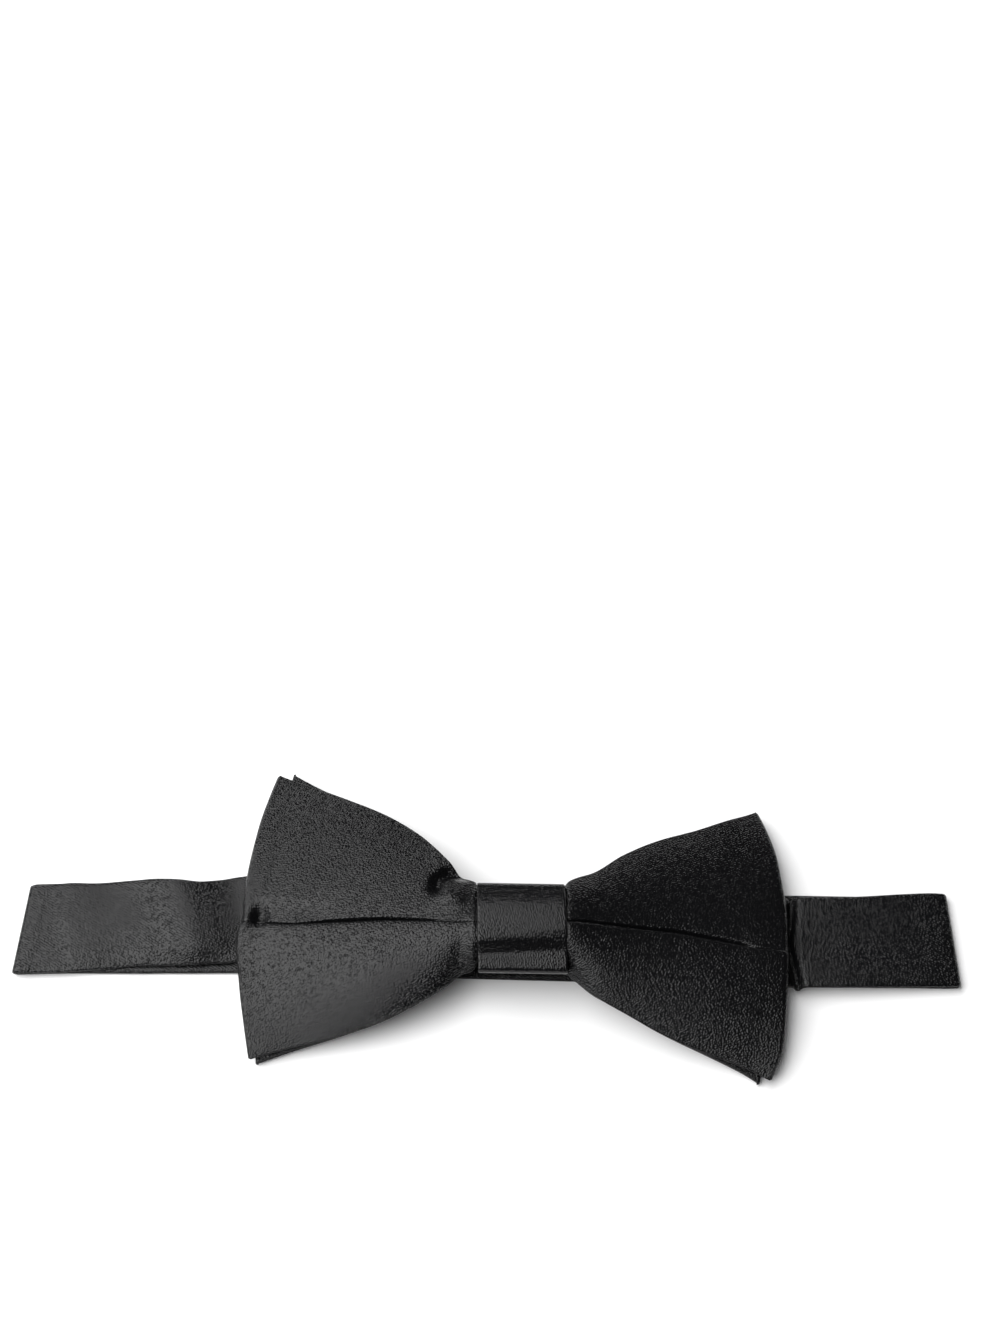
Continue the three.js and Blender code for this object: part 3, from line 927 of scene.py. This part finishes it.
@dataclass
class RearBow(GatheredStrip):
    """The second strip, pressed flat behind the front bow, whose corners show past it."""

    node: str = "rear_bow"
    flat_width: float = 68.0
    flat_length: float = 230.0
    wall: float = 0.45
    edge_inset: float = 1.1
    fold_steps: int = 6
    left_inset: float = 2.6
    left_skew: float = 1.0
    right_inset: float = 2.6
    inset_curve: int = 4
    corners: tuple[tuple[float, float], tuple[float, float]] = ((3.9, 1.9), (1.0, 2.3))
    corner_start: float = 0.24
    corner_curve: int = 6
    rows: int = 49
    spans: int = 121

    def middle(self, along: Array, across: Array, lift: float) -> Array:
        """Shapes the middle of one layer.

        Args:
            along: Shares of the half length.
            across: Places across the wing.
            lift: How far the layer is above the middle of both.

        Returns:
            Points as (place along, row, axis).
        """
        a = along[:, None]
        c = across[None, :]
        wing = np.abs(a)
        left_inset = self.left_inset + self.left_skew * c
        inset = np.where(a < 0, left_inset, self.right_inset) * wing ** self.inset_curve
        x, y = self.shape.plan(a, c, inset=inset, rim=self.wall / 2 + self.edge_inset)
        top = np.where(a < 0, self.corners[0][0], self.corners[1][0])
        bottom = np.where(a < 0, self.corners[0][1], self.corners[1][1])
        beyond = np.where(c > 0, top, -bottom)
        outward = ramp(wing, self.corner_start, 1)
        y = y + beyond * outward ** 2 * np.abs(c) ** self.corner_curve
        height = self.shape.rear_height(x, y) + lift
        return np.stack([x, y, height], axis=-1)

    def build(self) -> Object:
        """Makes the flat double strip.

        Returns:
            The strip.
        """
        half_gap = (self.shape.rear_thick - self.wall) / 2
        across = np.linspace(-1, 1, self.rows)
        along = np.linspace(-1, 1, self.spans)
        top = self.middle(along, across, half_gap)
        low = self.middle(along[::-1], across, -half_gap)
        for leaf, ends in ((top, (0, -1)), (low, (-1, 0))):
            leaf[ends[0], :, 0] += self.shape.rear_thick / 2
            leaf[ends[1], :, 0] -= self.shape.rear_thick / 2
        right_fold = fold_between(top[-1], low[0], 1, self.fold_steps)
        left_fold = fold_between(low[-1], top[0], -1, self.fold_steps)
        line = np.concatenate([top, right_fold, low, left_fold])
        outer = offset_loop(line, self.wall / 2, 0)
        inner = offset_loop(line, -self.wall / 2, 0)
        return ClothWall("rear_bow_cloth", outer, inner).build()


@dataclass
class KnotWrap:
    """The short strip wrapped round the waist of the bow and the band's upper run.

    It leans by so much over the lean length, and its front has a fold that rises to the right.
    """

    width: float = 18.9
    wall: float = 0.8
    shift: float = 0.5
    centre: float = -3.6
    lean: float = -0.34
    lean_length: float = 10.0
    fold_rise: float = 1.7
    fold_place: float = -9.3
    fold_reach: float = 1.9
    fold_heights: tuple[float, float] = (9.0, 13.0)
    crease_heights: tuple[float, float] = (6.0, 9.0)
    points_round: int = 220
    points_across: int = 41
    edge_ease: float = 1.3
    girth_points: int = 150
    section: tuple[tuple[float, float], ...] = (
        (3.0, 4.8), (-9.2, 4.8), (-11.0, 6.0), (-12.2, 8.4), (-13.2, 10.6), (-14.3, 12.3),
        (-14.2, 13.1), (-13.2, 13.6), (-12.2, 14.05), (-11.1, 14.6), (-10.3, 15.6), (-9.5, 16.5),
        (-8.4, 17.0), (-5.0, 17.2), (-1.8, 17.2), (-0.5, 17.05), (1.8, 16.45), (3.65, 15.85),
        (4.4, 15.25), (4.75, 14.1), (5.1, 12.0), (5.4, 9.6), (5.2, 6.2),
    )
    curve_points: int = 40
    creases: tuple[Crease, ...] = (
        Crease(((0.0, -11.2), (26.0, -8.8)), -0.3, 1.0, 0.5),
        Crease(((-13.0, -13.3), (0.0, -13.4), (13.0, -13.2)), 0.12, 0.7, 0.0),
    )

    def round_section(self, count: int) -> Array:
        """Draws the section's closed curve through its corners.

        Args:
            count: How many points to give.

        Returns:
            Evenly spaced points, as (point, axis).
        """
        corners = np.array(self.section)
        total = len(corners)
        dense = []
        for i in range(total):
            p0, p1, p2, p3 = (corners[(i + k - 1) % total] for k in range(4))
            d1, d2, d3 = (max(np.linalg.norm(b - a) ** 0.5, 1e-6)
                          for a, b in ((p0, p1), (p1, p2), (p2, p3)))
            m1 = d2 * ((p1 - p0) / d1 - (p2 - p0) / (d1 + d2) + (p2 - p1) / d2)
            m2 = d2 * ((p2 - p1) / d2 - (p3 - p1) / (d2 + d3) + (p3 - p2) / d3)
            t = np.linspace(0, 1, self.curve_points, endpoint=False)[:, None]
            dense.append((2 * t ** 3 - 3 * t ** 2 + 1) * p1 + (t ** 3 - 2 * t ** 2 + t) * m1
                         + (3 * t ** 2 - 2 * t ** 3) * p2 + (t ** 3 - t ** 2) * m2)
        curve = np.concatenate(dense)
        closed = np.concatenate([curve, curve[:1]])
        lengths = np.concatenate([[0.0], np.cumsum(np.hypot(*np.diff(closed, axis=0).T))])
        places = np.linspace(0, lengths[-1], count, endpoint=False)
        return np.stack([np.interp(places, lengths, closed[:, k]) for k in (0, 1)], axis=1)

    def build(self) -> Object:
        """Makes the wrap.

        Returns:
            The wrap.
        """
        middle = self.round_section(self.points_round)
        side = np.linspace(-1, 1, self.points_across)
        side = np.sign(side) * (1 - (1 - np.abs(side)) ** self.edge_ease)
        rim = self.wall / 2
        above = ramp(middle[:, 1], *self.fold_heights)
        fold = above * np.exp(-(((middle[:, 0] - self.fold_place) / self.fold_reach) ** 2))
        lines = np.zeros((len(middle), len(side), 3))
        lines[..., 1] = middle[:, None, 0]
        lines[..., 2] = middle[:, None, 1]
        outer = offset_loop(lines, -rim, 1)
        inner = offset_loop(lines, rim, 1)
        for face in (outer, inner):
            away = face[..., 1] - self.centre
            face[..., 0] = self.shift + side[None, :] * (self.width / 2 - rim)
            face[..., 0] += self.lean * away / self.lean_length
            face[..., 1] += fold[:, None] * self.fold_rise * (side[None, :] + 1) / 2
        front = ramp(outer[..., 2], *self.crease_heights)
        for crease in self.creases:
            outer[..., 2] += crease.lift(outer[..., 0], outer[..., 1]) * front
        return ClothWall("knot_wrap_cloth", outer, inner).build()

    def dress(self, piece: Object, satin: Material, neighbours: list[Object]) -> None:
        """Gives the wrap its satin, puts it on the part's body and hides its CAD node.

        Args:
            piece: The wrap.
            satin: The knot's satin.
            neighbours: The pieces that it is wrapped round; not used.
        """
        piece.data.materials.append(satin)
        attach(piece, "knot_wrap")


@dataclass
class NeckBand:
    """The neck band: one closed loop pressed flat, with a rolled fold at each end.

    Left of the bow its waves slant, and a strip along its front edge has settled down.
    """

    width: float = 22.0
    wall: float = 1.0
    left_end: float = -109.8
    right_end: float = 95.4
    roll: float = 0.8
    fold_spans: int = 14
    run_points: int = 300
    rows: int = 25
    slant: float = 0.4
    wavy_from: tuple[float, float] = (-105.0, -99.0)
    wavy_to: tuple[float, float] = (-58.0, -61.0)
    settled: float = 0.85
    settle_inset: float = 0.8
    settle_width: float = 2.4
    rest_gap: float = 0.05
    marks: tuple[Crease | Dent, ...] = BAND_DENTS

    def end_fold(self, centre: float, side: float) -> Array:
        """Draws the half turn at one end.

        Args:
            centre: The turn's place along the band.
            side: +1 at the right end and -1 at the left one.

        Returns:
            The turn's own points, as (point, x and height).
        """
        low = self.wall / 2
        high = float(BAND_RUN.read("height", centre))
        steps = np.arange(1, self.fold_spans)
        angle = side * (-math.pi / 2 + math.pi * steps / self.fold_spans)
        x = centre + side * self.roll * np.cos(angle)
        return np.stack([x, (low + high) / 2 + (high - low) / 2 * np.sin(angle)], axis=1)

    def middle(self) -> Array:
        """Draws the band's closed middle line.

        Returns:
            Its points, as (point, x and height).
        """
        low = self.wall / 2
        left = self.left_end + self.roll + low
        right = self.right_end - self.roll - low
        along = np.linspace(left, right, self.run_points)
        lower = np.stack([along, np.full(self.run_points, low)], axis=1)
        upper = np.stack([along[::-1], BAND_RUN.read("height", along[::-1])], axis=1)
        return np.concatenate([lower, self.end_fold(right, 1), upper, self.end_fold(left, -1)])

    def build(self) -> Object:
        """Makes the band.

        Returns:
            The band.
        """
        line = self.middle()
        side = np.linspace(-1, 1, self.rows)
        lines = np.zeros((len(line), len(side), 3))
        lines[..., 0] = line[:, None, 0]
        lines[..., 2] = line[:, None, 1]
        rim = self.wall / 2
        faces = [offset_loop(lines, -rim, 0), offset_loop(lines, rim, 0)]
        x, height = line[:, 0], line[:, 1]
        run = (height - rim) / np.maximum(BAND_RUN.read("height", x) - rim, 1e-6)
        run = np.clip(run, 0, 1)
        low_across = BAND_RUN.read("across_low", x)
        across = low_across + run * (BAND_RUN.read("across", x) - low_across)
        half = self.width / 2 + run * (BAND_RUN.read("half", x) - self.width / 2) - rim
        on_top = ramp(run, 0.5, 1)[:, None]
        for face in faces:
            face[..., 1] = across[:, None] + side[None, :] * half[:, None]
            for mark in self.marks:
                face[..., 2] += mark.lift(face[..., 0], face[..., 1]) * on_top
            face[..., 2] += self.left_lie(face[..., 0], face[..., 1], side * half[:, None]) * on_top
        return ClothWall("neck_band_cloth", faces[0], faces[1]).build()

    def left_lie(self, x: Array, y: Array, across: Array) -> Array:
        """Finds how the upper run left of the bow lies.

        Args:
            x: The points' place along the band.
            y: Their place across the floor.
            across: Their place across the band, from its middle.

        Returns:
            The height to add.
        """
        ends = ramp(x, *self.wavy_from) * ramp(x, *self.wavy_to)
        height = BAND_RUN.read("height", x)
        slanted = height + (BAND_RUN.read("height", x + self.slant * y) - height) * ends
        from_edge = (across + self.width / 2 - self.settle_inset) / self.settle_width
        down = self.settled * np.exp(-(from_edge ** 2)) * ends
        # The middle of the upper run, where it lies on the lower one
        resting = 1.5 * self.wall + self.rest_gap
        return slanted - height - np.maximum(slanted - resting, 0) * down

    def dress(self, piece: Object, satin: Material, clasp: Object) -> None:
        """Gives the band its satin, puts it on the part's body and hides its CAD node.

        Args:
            piece: The band.
            satin: The band's satin.
            clasp: The clasp that goes with it; not used.
        """
        piece.data.materials.append(satin)
        attach(piece, "neck_band")
        size = (self.width * MILLIMETRE, length_round(self.middle()) * MILLIMETRE)


@dataclass
class BandClasp:
    """The fastening on the band's lower run, a plain pressed plate with eased edges."""

    length: float = 12.0
    width: float = 20.0
    height: float = 2.0
    corner: float = 1.2
    corner_spans: int = 5
    border: float = 1.6
    press_slope: float = 0.5
    press_depth: float = 0.35
    eased_edge: float = 0.3
    edge_spans: int = 3
    smooth_below: float = 40.0
    x: float = -46.0
    lift: float = 1.7

    def build(self) -> Object:
        """Models the plate with a bevelled edge and a shallow pressed middle.

        Returns:
            The plate.
        """
        bpy.ops.object.select_all(action="DESELECT")
        across = float(BAND_RUN.read("across_low", self.x))
        centre = (np.array([self.x, across, self.lift + self.height / 2]) + KNOT_PLACE) * MILLIMETRE
        bpy.ops.mesh.primitive_cube_add(size=1.0, location=tuple(centre))
        plate = bpy.context.active_object
        plate.name = plate.data.name = "band_clasp_plate"
        plate.scale = (self.length * MILLIMETRE, self.width * MILLIMETRE, self.height * MILLIMETRE)
        bpy.ops.object.transform_apply(location=True, rotation=True, scale=True)
        bpy.ops.object.mode_set(mode="EDIT")
        bpy.ops.mesh.select_mode(type="EDGE")
        self.select_upright(plate)
        bpy.ops.mesh.bevel(offset=self.corner * MILLIMETRE, segments=self.corner_spans, profile=0.5)
        self.select_top(plate)
        bpy.ops.mesh.inset(thickness=self.border * MILLIMETRE, depth=0)
        bpy.ops.mesh.inset(thickness=self.press_slope * MILLIMETRE,
                           depth=-self.press_depth * MILLIMETRE)
        bpy.ops.object.mode_set(mode="OBJECT")
        edge = plate.modifiers.new("eased_edge", "BEVEL")
        edge.width = self.eased_edge * MILLIMETRE
        edge.segments = self.edge_spans
        edge.limit_method = "ANGLE"
        edge.angle_limit = math.radians(self.smooth_below)
        bpy.ops.object.modifier_apply(modifier=edge.name)
        bpy.ops.object.shade_smooth_by_angle(angle=math.radians(self.smooth_below))
        bpy.ops.object.select_all(action="DESELECT")
        return plate

    @staticmethod
    def select_upright(plate: Object) -> None:
        """Selects the edges that run up, in edit mode.

        Args:
            plate: The plate.
        """
        bpy.ops.mesh.select_all(action="DESELECT")
        bpy.ops.object.mode_set(mode="OBJECT")
        points = plate.data.vertices
        for edge in plate.data.edges:
            a, b = (points[k].co for k in edge.vertices)
            edge.select = abs((a - b).normalized().z) > UPRIGHT
        bpy.ops.object.mode_set(mode="EDIT")

    @staticmethod
    def select_top(plate: Object) -> None:
        """Selects the top face, in edit mode.

        Args:
            plate: The plate.
        """
        bpy.ops.mesh.select_mode(type="FACE")
        bpy.ops.mesh.select_all(action="DESELECT")
        bpy.ops.object.mode_set(mode="OBJECT")
        for face in plate.data.polygons:
            face.select = face.normal.z > UPRIGHT
        bpy.ops.object.mode_set(mode="EDIT")

    def dress(self, piece: Object, enamel: Material) -> None:
        """Gives the plate its enamel, puts it on the part's body and hides its CAD node."""
        piece.data.materials.append(enamel)
        attach(piece, "band_clasp")


def attach(piece: Object, node: str) -> None:
    """Makes a piece ride on the part's one body and stand for its CAD node.

    Args:
        piece: The new piece.
        node: The CAD node that it stands for.
    """
    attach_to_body(piece, "root")
    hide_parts(node)


# Camera, floor and light


@dataclass(frozen=True)
class Studio:
    """The camera's place, the floor and one large softbox hung on the left."""

    camera_place: tuple[float, float, float] = (0.00555, -0.15904, 0.31593)
    camera_turn: tuple[float, float, float] = (36.12, 0.0, 0.999)
    lens: float = 42.536
    sensor_width: float = 36.0
    clip: tuple[float, float] = (0.01, 20.0)
    floor_side: float = 8.0
    floor_drop: float = 0.0001
    light_place: tuple[float, float, float] = (-1.55, 0.06, 1.0)
    light_size: tuple[float, float] = (3.0, 1.92)
    light_power: float = 84.0
    surround: str = "#202022"
    surround_strength: float = 1.0

    def add_camera(self) -> None:
        """Adds the camera at the photograph's angle."""
        data = bpy.data.cameras.new("photo_camera")
        data.sensor_width = self.sensor_width
        data.lens = self.lens
        data.clip_start, data.clip_end = self.clip
        camera = bpy.data.objects.new("photo_camera", data)
        camera.location = self.camera_place
        camera.rotation_euler = tuple(math.radians(turn) for turn in self.camera_turn)
        bpy.context.scene.collection.objects.link(camera)
        bpy.context.scene.camera = camera

    def add_floor(self) -> None:
        """Adds the plain pale floor."""
        bpy.ops.object.select_all(action="DESELECT")
        bpy.ops.mesh.primitive_plane_add(size=self.floor_side, location=(0, 0, -self.floor_drop))
        floor = bpy.context.active_object
        floor.name = "floor"
        floor.data.materials.append(FloorFinish().material())
        bpy.ops.object.select_all(action="DESELECT")

    def add_light(self) -> None:
        """Adds the soft light and the dim surround, and shows colours as they are."""
        scene = bpy.context.scene
        data = bpy.data.lights.new("softbox", "AREA")
        data.shape = "RECTANGLE"
        data.size, data.size_y = self.light_size
        data.energy = self.light_power
        light = bpy.data.objects.new("softbox", data)
        light.location = self.light_place
        scene.collection.objects.link(light)
        world = bpy.data.worlds.new("studio")
        world.use_nodes = True
        ground = world.node_tree.nodes["Background"]
        ground.inputs["Color"].default_value = linear(self.surround)
        ground.inputs["Strength"].default_value = self.surround_strength
        scene.world = world
        scene.view_settings.view_transform = "Standard"


def main() -> None:
    """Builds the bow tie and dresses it."""
    logging.basicConfig(level=logging.INFO, format="%(name)s: %(message)s")
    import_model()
    studio = Studio()
    studio.add_camera()
    studio.add_floor()
    studio.add_light()

    # The band shows more of its ribs to the eye, and the knot's weave stands upright
    band_satin = SatinFinish("polyester_satin_band", relief=0.24, rib_share=0.2).material()
    bow_satin = SatinFinish("polyester_satin_bow").material()
    knot_satin = SatinFinish("polyester_satin_knot", rib_angle=76.0, relief=0.15).material()

    shape = BowShape()
    clasp_maker = BandClasp()
    clasp = clasp_maker.build()
    clasp_maker.dress(clasp, EnamelFinish().material())
    band_maker = NeckBand()
    band = band_maker.build()
    band_maker.dress(band, band_satin, clasp)
    rear_maker = RearBow(shape)
    rear = rear_maker.build()
    rear_maker.dress(rear, bow_satin, [band])
    front_maker = FrontBow(shape)
    front = front_maker.build()
    front_maker.dress(front, bow_satin, [rear])
    knot_maker = KnotWrap()
    knot = knot_maker.build()
    knot_maker.dress(knot, knot_satin, [front, band])
    for piece in (clasp, band, rear, front, knot):
        log.info("%s: %d faces", piece.name, len(piece.data.polygons))


if __name__ == "__main__":
    main()
